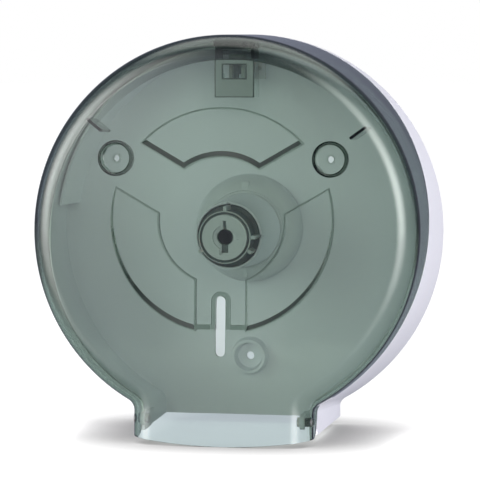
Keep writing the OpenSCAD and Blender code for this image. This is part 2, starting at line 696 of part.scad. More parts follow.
rear_housing();
front_cover();
hinge_pin_left();
hinge_pin_right();
hinge_bush_left();
hinge_bush_right();
spindle_mount();
spindle_mount_screws();
friction_washer();
spindle_sleeve();
spindle_retainer();
keyhole_disc();
lock_case();
lock_plate();
lock_case_screws();
key_guide();
latch_tongue();
latch_spring();
latch_keeper();
keeper_screws();
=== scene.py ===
# %% [markdown]
# # A jumbo toilet roll dispenser
# The real object is a round housing of moulded white ABS that hangs on a washroom wall. A clear
# smoke-tinted cover of SAN plastic closes it, turns on two pins at the lower lip and locks at the
# top. Through the cover you see the spindle that carries the roll. The CAD frame already holds
# every part at its true size and place. This lesson dresses that frame: it models again the
# pieces whose surface matters most, and gives each part the finish of its real material.

# %% Load the frame
import json
import math
import bmesh
import bpy
from mathutils import Matrix, Vector


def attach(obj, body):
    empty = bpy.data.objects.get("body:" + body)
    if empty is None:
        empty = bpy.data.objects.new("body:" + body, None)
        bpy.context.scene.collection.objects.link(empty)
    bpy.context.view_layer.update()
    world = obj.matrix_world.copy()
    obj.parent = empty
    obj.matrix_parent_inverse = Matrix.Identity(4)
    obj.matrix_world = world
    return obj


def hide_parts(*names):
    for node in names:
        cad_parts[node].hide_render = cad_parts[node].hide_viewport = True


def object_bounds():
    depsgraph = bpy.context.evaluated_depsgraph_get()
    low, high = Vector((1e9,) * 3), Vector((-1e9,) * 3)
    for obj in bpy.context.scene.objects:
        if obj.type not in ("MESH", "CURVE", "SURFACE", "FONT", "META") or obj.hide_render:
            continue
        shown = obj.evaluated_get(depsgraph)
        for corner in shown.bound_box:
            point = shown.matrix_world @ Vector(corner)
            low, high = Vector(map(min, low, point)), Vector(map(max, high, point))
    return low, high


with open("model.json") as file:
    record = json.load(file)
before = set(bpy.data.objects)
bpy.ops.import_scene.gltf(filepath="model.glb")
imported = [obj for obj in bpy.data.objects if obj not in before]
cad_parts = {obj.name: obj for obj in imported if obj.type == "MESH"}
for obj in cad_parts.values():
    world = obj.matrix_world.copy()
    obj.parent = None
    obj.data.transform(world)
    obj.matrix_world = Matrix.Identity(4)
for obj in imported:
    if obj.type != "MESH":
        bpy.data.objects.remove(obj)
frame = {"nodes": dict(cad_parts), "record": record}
nodes = frame["nodes"]
cad_box = [list(corner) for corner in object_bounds()]
MM = 0.001
print("CAD box in mm:", [round((high - low) / MM, 1) for low, high in zip(*cad_box)])

# %% [markdown]
# ## The camera
# A long lens far away keeps a round drum round. The camera stands a little to the right of the
# dispenser and a little above it. Its place is given as an azimuth, an elevation and a distance,
# which read like directions to a photographer, and a small shift frames the object.

# %% Camera
AZIMUTH, ELEVATION, ROLL = 10.92, 4.51, 0.13          # degrees
DISTANCE = 1.6908                                      # metres
FOCAL_PIXELS, FRAME_PIXELS, SENSOR_MM = 2482.5, 480, 36.0
AIM = Vector((0, -0.098, 0.004))
SHIFT_RIGHT, SHIFT_UP = 0.0106, -0.0057


def camera_axes(roll):
    """Right, up and forward directions of the camera."""
    a, e, r = (math.radians(v) for v in (AZIMUTH, ELEVATION, roll))
    forward = Vector((-math.sin(a) * math.cos(e), math.cos(a) * math.cos(e), -math.sin(e)))
    right = Vector((math.cos(a), math.sin(a), 0))
    up = right.cross(forward)
    return right * math.cos(r) - up * math.sin(r), up * math.cos(r) + right * math.sin(r), forward


right, up, forward = camera_axes(0)
place = AIM - forward * DISTANCE + right * SHIFT_RIGHT + up * SHIFT_UP
right, up, forward = camera_axes(ROLL)
bpy.ops.object.camera_add()
camera = bpy.context.object
camera.matrix_world = Matrix((right, up, -forward)).transposed().to_4x4()
camera.location = place
camera.data.sensor_width = SENSOR_MM
camera.data.lens = FOCAL_PIXELS / FRAME_PIXELS * SENSOR_MM
bpy.context.scene.camera = camera
print("lens in mm:", round(camera.data.lens, 1))

# %% [markdown]
# ## A pen for outlines
# Most of this dispenser is drawn from the front and given a depth, as a toolmaker would cut it.
# So the first helper is a pen. It starts from one vertex and extrudes it for a straight line or
# spins it for an arc. A curve object could draw the same line, but its arcs are only near circles,
# and the clear cover would show that in its highlights.

# %% The pen
WELD = 0.002 * MM                                      # points that are closer become one
REACH = 200.0                                          # mm; cutters reach past every part


def start_piece(name):
    """An empty mesh object at the origin, left open in edit mode."""
    bpy.ops.object.select_all(action="DESELECT")
    bpy.ops.mesh.primitive_plane_add(size=MM)
    piece = bpy.context.object
    piece.name = name
    bpy.ops.object.mode_set(mode="EDIT")
    bpy.ops.mesh.delete(type="VERT")
    return piece


def pen_down(x, y, z):
    """One selected vertex at a place in mm."""
    bpy.ops.mesh.select_all(action="DESELECT")
    bpy.ops.mesh.primitive_plane_add(size=0.01 * MM, location=(x * MM, y * MM, z * MM))
    bpy.ops.mesh.merge(type="CENTER")


def draw(start, path, depth):
    """Draws a closed outline in the front plane. A step of the path is (x, z) for a line, or
    (x, z, centre x, centre z, steps) for an arc, all in mm."""
    x, z = start
    pen_down(x, depth, z)
    for to_x, to_z, *arc in list(path) + [start]:
        if arc:
            cx, cz, steps = arc
            turn = math.atan2(to_z - cz, to_x - cx) - math.atan2(z - cz, x - cx)
            turn = (turn + math.pi) % (2 * math.pi) - math.pi
            bpy.ops.mesh.spin(steps=steps, angle=turn, axis=(0, 1, 0),
                              center=(cx * MM, depth * MM, cz * MM))
        elif (to_x, to_z) != (x, z):
            bpy.ops.mesh.extrude_region_move(
                TRANSFORM_OT_translate={"value": ((to_x - x) * MM, 0, (to_z - z) * MM)})
        x, z = to_x, to_z
    bpy.ops.mesh.select_all(action="SELECT")
    bpy.ops.mesh.remove_doubles(threshold=WELD)


# %% [markdown]
# ## From outlines to solids
# Two or more outlines at different depths are bridged into a solid with sloping walls. A round part
# is quicker on a lathe: one profile, spun about its axis. Both leave an open mesh, which is welded,
# capped and turned outwards by the same last step.

# %% Bridge and lathe
def close_solid():
    """Caps the open ends, turns the faces outwards and leaves edit mode."""
    bpy.ops.mesh.select_all(action="SELECT")
    bpy.ops.mesh.remove_doubles(threshold=WELD)
    bpy.ops.mesh.fill_holes(sides=0)
    bpy.ops.mesh.select_all(action="SELECT")
    bpy.ops.mesh.normals_make_consistent(inside=False)
    bpy.ops.object.mode_set(mode="OBJECT")


def stacked(name, *levels):
    """A solid through outlines at several depths. Each level is (depth, (start, path))."""
    layers = []
    for depth, outline in levels:
        layers.append(start_piece(name))
        draw(*outline, depth)
        bpy.ops.object.mode_set(mode="OBJECT")
    for layer in layers:
        layer.select_set(True)
    bpy.context.view_layer.objects.active = layers[0]
    bpy.ops.object.join()
    bpy.ops.object.mode_set(mode="EDIT")
    bpy.ops.mesh.select_all(action="SELECT")
    bpy.ops.mesh.bridge_edge_loops()
    close_solid()
    return layers[0]


def turned(name, profile, centre=(0, 0), steps=72):
    """A lathe: spins a profile of (radius, depth) points about a depth axis."""
    cx, cz = centre
    piece = start_piece(name)
    radius, depth = profile[0]
    pen_down(cx + radius, depth, cz)
    for to_radius, to_depth in profile[1:]:
        bpy.ops.mesh.extrude_region_move(
            TRANSFORM_OT_translate={"value": ((to_radius - radius) * MM, (to_depth - depth) * MM, 0)})
        radius, depth = to_radius, to_depth
    bpy.ops.mesh.select_all(action="SELECT")
    bpy.ops.mesh.spin(steps=steps, angle=2 * math.pi, axis=(0, 1, 0), center=(cx * MM, 0, cz * MM))
    close_solid()
    return piece


# %% [markdown]
# ## Blocks, rods and cuts
# Plain stock is used up in cuts and joins. A block or a rod is given by its low and high ends,
# which is how a drawing is dimensioned. The exact Boolean solver is slower than the fast one, but
# it keeps thin walls closed, and a volume of smoke plastic has to be closed.

# %% Blocks and rods
def block(name, x, y, z):
    """A box between low and high values in mm."""
    bpy.ops.object.select_all(action="DESELECT")
    bpy.ops.mesh.primitive_cube_add(size=1)
    piece = bpy.context.object
    piece.name = name
    piece.location = [sum(pair) / 2 * MM for pair in (x, y, z)]
    piece.scale = [(pair[1] - pair[0]) * MM for pair in (x, y, z)]
    bpy.ops.object.transform_apply(location=True, rotation=True, scale=True)
    return piece


def rod(name, radius, axis, ends, centre, sides=48):
    """A cylinder along x, y or z between two ends. The centre gives its other two coordinates."""
    places = list(centre)
    places.insert("xyz".index(axis), sum(ends) / 2)
    turn = {"x": (0, math.pi / 2, 0), "y": (math.pi / 2, 0, 0), "z": (0, 0, 0)}[axis]
    bpy.ops.object.select_all(action="DESELECT")
    bpy.ops.mesh.primitive_cylinder_add(vertices=sides, radius=radius * MM, rotation=turn,
                                        depth=abs(ends[1] - ends[0]) * MM,
                                        location=[c * MM for c in places])
    piece = bpy.context.object
    piece.name = name
    bpy.ops.object.transform_apply(location=True, rotation=True, scale=True)
    return piece


# %% Round, turn, cut and measure
def bevelled(piece, width, segments):
    """Rounds all the edges of a new piece."""
    bpy.ops.object.mode_set(mode="EDIT")
    bpy.ops.mesh.bevel(offset=width * MM, segments=segments)
    bpy.ops.object.mode_set(mode="OBJECT")
    return piece


def swung(piece, angle):
    """Turns a new piece about the depth axis, by degrees."""
    piece.rotation_euler = (0, -math.radians(angle), 0)
    bpy.ops.object.transform_apply(rotation=True)
    return piece


def combine(piece, how, *others):
    """Cuts, joins or intersects a piece with others, which are used up."""
    bpy.context.view_layer.objects.active = piece
    for other in others:
        step = piece.modifiers.new("step", "BOOLEAN")
        step.operation, step.object, step.solver = how, other, "EXACT"
        bpy.ops.object.modifier_apply(modifier=step.name)
        bpy.data.objects.remove(other)
    return piece


def measure(piece):
    """Prints a piece's size and faces, and how many of its edges are open."""
    mesh = bmesh.new()
    mesh.from_mesh(piece.data)
    open_edges = sum(len(edge.link_faces) != 2 for edge in mesh.edges)
    spans = [max(v.co[i] for v in mesh.verts) - min(v.co[i] for v in mesh.verts) for i in range(3)]
    print(piece.name, [round(span / MM, 1) for span in spans], "faces", len(mesh.faces),
          "open edges", open_edges)
    mesh.free()


# %% [markdown]
# ## The cover's shell
# The cover is one injection moulding of clear smoke SAN, 2.5 mm thick, and its edge round the face
# is a quarter circle of 15 mm. It could be a bent sheet with a Solidify modifier, but light bends
# in the real one between an outer and an inner rounding with the same centre. So two solids are
# made from the same outline, each inset step by step round its own arc, and one is cut from the
# other. The drum leans back a little, so all this is drawn upright and tilted at the end.

# %% Sizes of the drum
DRUM_R, CHUTE_HALF, JUNCTION_R = 134.0, 62.3, 8.0
FACE_ROUND, COVER_WALL, FLARE = 15.0, 2.5, 5 / 96
FACE, INSIDE = -FACE_ROUND, -FACE_ROUND + COVER_WALL   # depths of the two sides of the face
CHUTE_DROP, LIP_BOW = 140.4, 5.5
LEAN, FRONT_Y, FRONT_RISE = 2.75, -96.0, 4.0           # the lean in degrees
DRUM_BACK, DRUM_LOW = 95, -170                         # past all that the trims take off


def drum_outline(inset, low):
    """A circle that runs through two small curves into the straight sides of the chute."""
    radius, half, bend = DRUM_R - inset, CHUTE_HALF - inset, JUNCTION_R + inset
    side = half + bend
    z = -math.sqrt((radius + bend) ** 2 - side ** 2)
    k = radius / (radius + bend)
    return (-half, low), [
        (-half, z), (-k * side, k * z, -side, z, 6), (-radius, 0, 0, 0, 30), (0, radius, 0, 0, 45),
        (radius, 0, 0, 0, 45), (k * side, k * z, 0, 0, 30), (half, z, side, z, 6), (half, low)]


def drum_solid(name, inset, back, low, round_steps=12):
    """The drum without a hollow: flared sides, a rounded edge and a flat face."""
    piece = start_piece(name)
    draw(*drum_outline(inset - FLARE * back, low), back)
    bpy.ops.mesh.edge_face_add()
    mesh = bmesh.from_edit_mesh(piece.data)
    if next(iter(mesh.faces)).normal.y > 0:
        bpy.ops.mesh.flip_normals()
    bpy.ops.mesh.inset(thickness=FLARE * back * MM, depth=back * MM)
    edge = (FACE_ROUND - inset) * MM
    angles = [math.pi / 2 * i / round_steps for i in range(round_steps + 1)]
    for a, b in zip(angles, angles[1:]):
        bpy.ops.mesh.inset(thickness=edge * (math.cos(a) - math.cos(b)),
                           depth=edge * (math.sin(b) - math.sin(a)))
    bpy.ops.mesh.select_non_manifold()
    bpy.ops.mesh.edge_face_add()
    close_solid()
    return piece


# %% Shell
cover = drum_solid("front_cover_shell", 0, DRUM_BACK, DRUM_LOW)
combine(cover, "DIFFERENCE", drum_solid("hollow", COVER_WALL, DRUM_BACK + 2, DRUM_LOW - 5))
measure(cover)

# %% [markdown]
# The shell is trimmed with big cylinders. One gives the lip its shallow bow. One runs across the
# drum from side to side and gives the parting line, which sweeps back towards the top. The lower
# rear corners are rounded about the hinge, so that the cover can swing.

# %% Trim the shell
PARTING_R, PARTING_Y, PARTING_Z, PARTING_GAP = 761.01, 768.84, -197.86, 0.5
HINGE_Y, HINGE_Z, SWING_R = -3.0, -128.6, 12.5
lip_r = (CHUTE_HALF ** 2 + LIP_BOW ** 2) / (2 * LIP_BOW)
across = (-REACH, REACH)
combine(cover, "INTERSECT",
        rod("lip", lip_r, "y", across, (0, -CHUTE_DROP - LIP_BOW + lip_r), sides=720))
combine(cover, "DIFFERENCE",
        rod("parting", PARTING_R + PARTING_GAP, "x", across, (PARTING_Y, PARTING_Z), sides=1440))
corners = block("corners", across, (HINGE_Y, 60), (-REACH, HINGE_Z))
combine(corners, "DIFFERENCE",
        rod("swing", SWING_R, "x", (-REACH - 20, REACH + 20), (HINGE_Y, HINGE_Z), sides=96))
combine(cover, "DIFFERENCE", corners)
measure(cover)

# %% [markdown]
# ## Pockets in the face
# Three shallow pockets stiffen the flat face. Their lower walls are long slopes, spark-eroded in
# the mould, so they are rough and scatter light, and painted shade darkens them, so that they read
# as dark bars. Each pocket is a stack of two outlines, one at the rim and a smaller one at the
# floor. A bump on the inside keeps the wall thickness. The outline could be drawn once and scaled,
# but then all its walls would slope alike.

# %% Outline of a pocket
RING_Z, PANEL_IN, PANEL_OUT, HALF_SPOKE, SINK = 7.5, 44.0, 76.0, 18.0, 2.0
SLOPE = 3.0                                            # width of a lower slope from the front
DRAFT, OUTER_DRAFT = 0.3, 0.7                          # widths of the other walls
BUMP_OVER = 1.0                                        # reach of the bump past the pocket


def corner_of(spoke, side, gap, radius, lift=0.0):
    """Where a circle, lifted a little, meets the line at a distance beside a spoke."""
    a = math.radians(spoke)
    along, beside = (math.cos(a), math.sin(a)), (-side * math.sin(a), side * math.cos(a))
    reach = along[1] * lift + math.sqrt(radius ** 2 - (gap - beside[1] * lift) ** 2)
    return [gap * beside[i] + reach * along[i] + (0, RING_Z)[i] for i in (0, 1)]


def sector(first, last, gap, r_in, r_out, lift=0.0):
    """Outline of the ring between two spokes."""
    start = corner_of(first, 1, gap, r_in)
    return tuple(start), [
        (*corner_of(last, -1, gap, r_in), 0, RING_Z, 24), tuple(corner_of(last, -1, gap, r_out, lift)),
        (*corner_of(first, 1, gap, r_out, lift), 0, RING_Z + lift, 40)]


rim = (HALF_SPOKE, PANEL_IN, PANEL_OUT)
print("inner corner of the first pocket, mm:", [round(c, 1) for c in corner_of(30, 1, *rim[:2])])

# %% Sink the pockets
upper_floor = (HALF_SPOKE + SLOPE, PANEL_IN + SLOPE + DRAFT, PANEL_OUT - DRAFT)
lower_floor = (HALF_SPOKE + DRAFT, PANEL_IN + DRAFT, PANEL_OUT - OUTER_DRAFT, SLOPE - OUTER_DRAFT)
for spokes, sunk in (((30, 150), upper_floor), ((150, 270), lower_floor), ((270, 390), lower_floor)):
    bump = sector(*spokes, HALF_SPOKE - BUMP_OVER, PANEL_IN - BUMP_OVER, PANEL_OUT + BUMP_OVER)
    combine(cover, "UNION", stacked("bump", (INSIDE - 1, bump), (INSIDE + SINK, bump)))
    combine(cover, "DIFFERENCE", stacked("pocket", (FACE - 2, sector(*spokes, *rim)),
                                         (FACE, sector(*spokes, *rim)),
                                         (FACE + SINK, sector(*spokes, *sunk))))
measure(cover)

# %% [markdown]
# ## Wells, slot and ribs
# Two round wells sit beside the upper pocket, where the plastic was injected. They are turned on the
# lathe, the inside boss first and then the hollow, which leaves a thin tube behind the face. The
# level slot has a rim that is thicker than the face, so it reads darker. A low bar joins that rim
# to the ends of the pockets, and two blades inside the rounding keep the cover from twisting.

# %% Wells
WELL_X, WELL_Z, WELL_R, WELL_WALL = 74.0, 49.5, 10.0, 2.2
WELL_FLARE, WELL_EDGE, BOSS_EDGE = 2.6, 0.9, 0.8       # widening at the face, roundings behind it
WELL_FLOOR, GATE_R, GATE_HOLE_R, GATE_RIM = FACE + 6, 3.4, 2.2, 0.8
BLIND_LEFT = 1.9                                       # the left gate hole ends in the floor
for side in (-1, 1):
    centre = (side * WELL_X, WELL_Z)
    outside = WELL_R + WELL_WALL
    back_of_floor = WELL_FLOOR + COVER_WALL
    combine(cover, "UNION", turned("boss", [
        (0, INSIDE - 1), (outside, INSIDE - 1), (outside, back_of_floor - BOSS_EDGE),
        (outside - BOSS_EDGE, back_of_floor), (0, back_of_floor)], centre))
    hole_end = back_of_floor + 1 if side > 0 else WELL_FLOOR + BLIND_LEFT
    combine(cover, "DIFFERENCE", turned("hollow", [
        (0, FACE - 2), (WELL_R + WELL_FLARE, FACE - 2), (WELL_R, FACE + 0.6),
        (WELL_R, WELL_FLOOR - WELL_EDGE), (WELL_R - WELL_EDGE / 3, WELL_FLOOR - WELL_EDGE / 3),
        (WELL_R - WELL_EDGE, WELL_FLOOR), (GATE_R, WELL_FLOOR), (GATE_R, WELL_FLOOR - GATE_RIM),
        (GATE_HOLE_R, WELL_FLOOR - GATE_RIM), (GATE_HOLE_R, hole_end), (0, hole_end)], centre))
measure(cover)

# %% Level slot
SLOT_HALF, SLOT_LOW, SLOT_HIGH, RIM_HALF = 3.5, -84.5, -43.5, 6.8
RIM_LOW, RIM_HIGH, RIM_SINK, RIM_REACH, BAR_H = -66.3, -40.1, 0.8, 2.4, 3.4


def long_hole(half, low, high, square_foot=False):
    """Outline with round ends, or with a square lower end."""
    foot = [(half, low)] if square_foot else [(0, low, 0, low + half, 8),
                                              (half, low + half, 0, low + half, 8)]
    start = (-half, low if square_foot else low + half)
    return start, foot + [(half, high - half), (0, high, 0, high - half, 8),
                          (-half, high - half, 0, high - half, 8)]


collar = long_hole(RIM_HALF, RIM_LOW, RIM_HIGH, square_foot=True)
collar_sunk = long_hole(RIM_HALF - DRAFT, RIM_LOW + DRAFT, RIM_HIGH - DRAFT, square_foot=True)
combine(cover, "UNION", stacked("collar", (INSIDE - 1, collar), (INSIDE + RIM_REACH, collar_sunk)),
        block("bar", (-HALF_SPOKE - 0.5, HALF_SPOKE + 0.5), (INSIDE - 1, INSIDE + RIM_REACH - 0.1),
              (RIM_LOW, RIM_LOW + BAR_H)))
slot = long_hole(SLOT_HALF, SLOT_LOW, SLOT_HIGH)
combine(cover, "DIFFERENCE",
        stacked("sunk", (FACE - 2, collar), (FACE, collar), (FACE + RIM_SINK, collar_sunk)),
        stacked("slot", (FACE - 2, slot), (INSIDE + 6, slot)))
measure(cover)

# %% Blades behind the face
BLADE_ANGLES, BLADE_SPAN, BLADE_T, BLADE_BACK = (36, 141), (108, 121), 2.0, 14.0
for angle in BLADE_ANGLES:
    blade = block("blade", BLADE_SPAN, (INSIDE - 1, BLADE_BACK), (-BLADE_T / 2, BLADE_T / 2))
    combine(cover, "UNION", swung(bevelled(blade, 0.4, 2), angle))
measure(cover)

# %% Holes for the hinge bushes
BUSH_HOLE_R = 3.06
combine(cover, "DIFFERENCE", rod("hinge", BUSH_HOLE_R, "x", across, (HINGE_Y, HINGE_Z)))
measure(cover)

# %% [markdown]
# ## Tilt, pad and key hole
# The drum leans back by 2.75 degrees: its face looks up a little, and the paper comes out well away
# from the wall. The lock stays upright, so the cover is tilted first. Then a thick pad is added and
# drilled for the key guide and the two small screws. The pad is a block cut to a slightly smaller
# drum, so that it ends inside the shell's wall and leaves no faces that lie on each other.

# %% Tilt and finish the cover
def tilt(piece):
    """Puts a piece that was drawn upright at its place in the leaning drum."""
    bpy.ops.object.select_all(action="DESELECT")
    piece.select_set(True)
    bpy.context.view_layer.objects.active = piece
    piece.rotation_euler = (-math.radians(LEAN), 0, 0)
    piece.location = (0, FRONT_Y * MM, FRONT_RISE * MM)
    bpy.ops.object.transform_apply(location=True, rotation=True)
    return piece


CASE_TOP, CASE_FRONT, CASE_DEPTH, CASE_HALF = 131.0, -61.0, 20.0, 13.8
KEY_Y, KEY_HOLE_R, CASE_SCREW_X, CASE_SCREW_Y, CASE_SCREW_R = -51.0, 4.0, 9.1, -48.0, 1.55
tilt(cover)
pad = block("pad", (-CASE_HALF - 1, CASE_HALF + 1), (CASE_FRONT, CASE_FRONT + CASE_DEPTH),
            (CASE_TOP, 160))
combine(pad, "INTERSECT", tilt(drum_solid("pad_limit", COVER_WALL / 2, DRUM_BACK, DRUM_LOW)))
combine(cover, "UNION", pad)
combine(cover, "DIFFERENCE", rod("key", KEY_HOLE_R, "z", (110, 170), (0, KEY_Y)),
        *[rod("screw", CASE_SCREW_R, "z", (CASE_TOP - 1, CASE_TOP + 4),
              (side * CASE_SCREW_X, CASE_SCREW_Y), sides=24) for side in (-1, 1)])
measure(cover)

# %% Smooth the cover
def smooth(piece, angle=25):
    """Smooth shading with crisp corners, and flat faces that stay flat."""
    bpy.ops.object.select_all(action="DESELECT")
    piece.select_set(True)
    bpy.context.view_layer.objects.active = piece
    bpy.ops.object.shade_smooth_by_angle(angle=math.radians(angle))
    bpy.ops.object.modifier_add(type="WEIGHTED_NORMAL")
    piece.modifiers[-1].keep_sharp = True
    piece.modifiers[-1].weight = 80
    bpy.ops.object.modifier_apply(modifier=piece.modifiers[-1].name)


smooth(cover)
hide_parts("front_cover")
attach(cover, "cover")

# %% [markdown]
# ## The housing's inner arch
# Over the roll a thin cone runs from the back plate out to the side wall. It stiffens the plate
# where the cover hangs on the latch, and it guides the cover when it closes. It faces down and
# stays in shade, so it shows through the cover as a darker band. It could be modelled in the
# housing itself, but it follows the leaning drum, so it is turned as a ring of its own, tilted
# with the drum, sunk into the back plate and cut off at the middle of the drum.

# %% Inner arch
RING_FRONT, RING_FRONT_R, RING_BACK, RING_BACK_R = 56.0, 130.8, 100.0, 125.2
RING_T, RING_FOOT, RING_FLUSH = 1.6, 17.0, -1.5
ring = turned("housing_inner_arch", [
    (RING_FRONT_R, RING_FRONT), (RING_FRONT_R + RING_T, RING_FRONT), (RING_BACK_R + RING_T, RING_BACK),
    (RING_BACK_R, RING_BACK), (RING_FRONT_R, RING_FRONT)], steps=180)
tilt(ring)
combine(ring, "INTERSECT", block("flush", across, (-REACH, RING_FLUSH), across))
combine(ring, "INTERSECT", block("upper_part", across, (-REACH, 10), (RING_FOOT, REACH)))
measure(ring)
smooth(ring, 35)
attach(ring, "housing")

# %% [markdown]
# ## The hub
# The roll turns on a hub of four mouldings. A foot with a domed shoulder is screwed to the back
# plate and carries a post. A tapered sleeve turns on the post, a plug with a flange keeps the
# sleeve on, and a small disc with a keyhole closes the front. All of them are round, so each is a
# profile turned on the lathe. The dome is a quarter ellipse, because a plain cone would show one
# flat tone where the real foot shades softly. Rims get a small radius, as in any mould.

# %% Foot and post
FOOT_R, ROOT_R, ROOT_OUT, SHOULDER_OUT = 38.5, 27.5, 25.0, 22.0
POST_R, POST_OUT, BORE_R, FLOOR_OUT, PLATE, WALL_SCREW_R = 20.0, 78.0, 17.0, 7.0, 3.0, 2.9


def quarter(centre, size, first, last, steps=8):
    """Points of an elliptic arc in a (radius, depth) profile, between two angles."""
    angles = [math.radians(first + (last - first) * i / steps) for i in range(steps + 1)]
    return [(centre[0] + size[0] * math.cos(a), centre[1] - size[1] * math.sin(a)) for a in angles]


foot = turned("hub_foot", [
    (0, -PLATE), (FOOT_R, -PLATE),
    *quarter((ROOT_R, -PLATE - 1.5), (FOOT_R - ROOT_R, SHOULDER_OUT - PLATE - 1.5), 0, 84),
    (ROOT_R + 0.4, -SHOULDER_OUT), *quarter((ROOT_R - 0.6, -ROOT_OUT + 0.6), (0.6, 0.6), 0, 90, 3),
    (POST_R, -ROOT_OUT), (POST_R, -POST_OUT), (0, -POST_OUT)], steps=96)
for height, half in ((1, 2.8), (-1, 1.6)):
    rib = block("rib", (-half, half), (-SHOULDER_OUT, -PLATE - 4),
                sorted((height * (ROOT_R - 1), height * (ROOT_R + 7))))
    combine(foot, "UNION", bevelled(rib, 1.2, 3))
combine(foot, "DIFFERENCE", rod("bore", BORE_R, "y", (-POST_OUT - 1, -FLOOR_OUT), (0, 0), sides=72),
        rod("screw", WALL_SCREW_R, "y", (-FLOOR_OUT - 1, 0), (0, 0), sides=24))
measure(foot)

# %% Sleeve
SLEEVE_BACK, SLEEVE_OUT, SLEEVE_ROOT_R, SLEEVE_TIP_R, SLEEVE_WALL = 26.2, 83.0, 26.0, 23.3, 1.6
NOTCH_W, NOTCH_LEN = 2.2, 5.0
sleeve = turned("hub_sleeve", [
    (SLEEVE_ROOT_R - SLEEVE_WALL, -SLEEVE_BACK), (SLEEVE_ROOT_R, -SLEEVE_BACK),
    *quarter((SLEEVE_TIP_R - SLEEVE_WALL / 2, -SLEEVE_OUT + 0.8), (0.8, 0.8), 0, 180, 8),
    (SLEEVE_ROOT_R - SLEEVE_WALL, -SLEEVE_BACK)], steps=96)
notch_z = (SLEEVE_TIP_R - 2 * SLEEVE_WALL, SLEEVE_TIP_R + 1)
notch_y = (-SLEEVE_OUT - 1, -SLEEVE_OUT + NOTCH_LEN)
combine(sleeve, "DIFFERENCE", block("notch", (-NOTCH_W / 2, NOTCH_W / 2), notch_y, notch_z),
        block("notch", notch_z, notch_y, (-NOTCH_W / 2, NOTCH_W / 2)))
measure(sleeve)

# %% Plug with its flange
PLUG_R, PLUG_OUT, FLANGE_R, FLANGE_T, DISC_R, GROOVE = 18.1, 97.0, 21.1, 2, 15.6, 1.7
SEAT_OUT, STEM_BACK, STEM_WALL, ACCESS_R = PLUG_OUT - 3, POST_OUT - 12, 2, 5.2
LUG_ANGLES, LUG_HALF, PRESS = (0, 90, 210, 330), 1.2, 0.03
plug = turned("hub_plug", [
    (BORE_R - STEM_WALL, -STEM_BACK), (BORE_R - PRESS, -STEM_BACK), (BORE_R - PRESS, -POST_OUT),
    (FLANGE_R, -POST_OUT), (FLANGE_R, -POST_OUT - 1.6), (FLANGE_R - 0.4, -POST_OUT - FLANGE_T),
    (PLUG_R, -POST_OUT - FLANGE_T),
    *quarter((PLUG_R - 0.5, -PLUG_OUT + 0.5), (0.5, 0.5), 0, 90, 3), (DISC_R + GROOVE, -PLUG_OUT),
    (DISC_R + GROOVE, -SEAT_OUT), (ACCESS_R, -SEAT_OUT), (ACCESS_R, -SEAT_OUT + 3),
    (BORE_R - STEM_WALL, -SEAT_OUT + 3), (BORE_R - STEM_WALL, -STEM_BACK)], steps=96)
for angle in LUG_ANGLES:
    lug = block("lug", (PLUG_R - 1, FLANGE_R), (-PLUG_OUT + 1, -POST_OUT - 1), (-LUG_HALF, LUG_HALF))
    combine(plug, "UNION", swung(bevelled(lug, 0.35, 2), angle))
measure(plug)

# %% Disc with the keyhole
RECESS_R, RECESS_DEPTH, DISC_OUT, KEYHOLE_R = 8.2, 1.9, PLUG_OUT + 0.4, 5.7
disc = turned("keyhole_face", [
    (0, -SEAT_OUT), (DISC_R, -SEAT_OUT),
    *quarter((DISC_R - 0.4, -DISC_OUT + 0.4), (0.4, 0.4), 0, 90, 3), (0, -DISC_OUT)])
recess = (-DISC_OUT - 1, -DISC_OUT + RECESS_DEPTH)
through_disc = (-DISC_OUT - 1, -SEAT_OUT + 1)
combine(disc, "DIFFERENCE", rod("recess", RECESS_R, "y", recess, (0, 0), sides=64),
        block("recess_below", (-3.3, 3.3), recess, (-12.0, 0)),
        block("recess_right", (0, 10.0), recess, (-1.4, 1.4)),
        rod("hole", KEYHOLE_R, "y", through_disc, (0, 0), sides=64),
        block("arm_above", (-1.1, 1.1), through_disc, (0, 11.4)),
        block("arm_below", (-2.3, 2.3), through_disc, (-10.8, 0)))
measure(disc)

# %% Smooth the hub and hang it on the frame
for piece, node, slot_name in ((foot, "spindle_mount", "white_abs"),
                               (sleeve, "spindle_sleeve", "white_abs"),
                               (plug, "spindle_retainer", "dark_nylon"),
                               (disc, "keyhole_disc", "white_abs")):
    smooth(piece, 40)
    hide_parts(node)
    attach(piece, "sleeve" if node == "spindle_sleeve" else "housing")
    print(piece.name, "stands for", node)

# %% [markdown]
# ## Colours and shader nodes
# Every colour is written as the hex value a painter would pick on screen. The renderer works with
# linear light, so one function converts it. A second small function adds a shader node, sets it
# and wires its inputs in one go. The settings that come back often get short names, so that a
# formula of many nodes can still be read.

# %% Colours
def srgb(code):
    """Linear colour of a hex code such as 'C0FFEE'."""
    parts = [int(code[i:i + 2], 16) / 255 for i in (0, 2, 4)]
    return [c / 12.92 if c <= 0.04045 else ((c + 0.055) / 1.055) ** 2.4 for c in parts] + [1]


WHITE = srgb("FFFFFF")
print("mid grey in linear light:", round(srgb("808080")[0], 3))

# %% Nodes
PLUS, MINUS, TIMES, POWER, LARGER, UNSIGNED, BELOW, ANGLE, FAR_FROM = ({"operation": name} for name in (
    "ADD", "SUBTRACT", "MULTIPLY", "POWER", "MAXIMUM", "ABSOLUTE", "LESS_THAN", "ARCTAN2", "DISTANCE"))
COLOURS, SOFT = {"data_type": "RGBA"}, {"interpolation_type": "SMOOTHSTEP"}


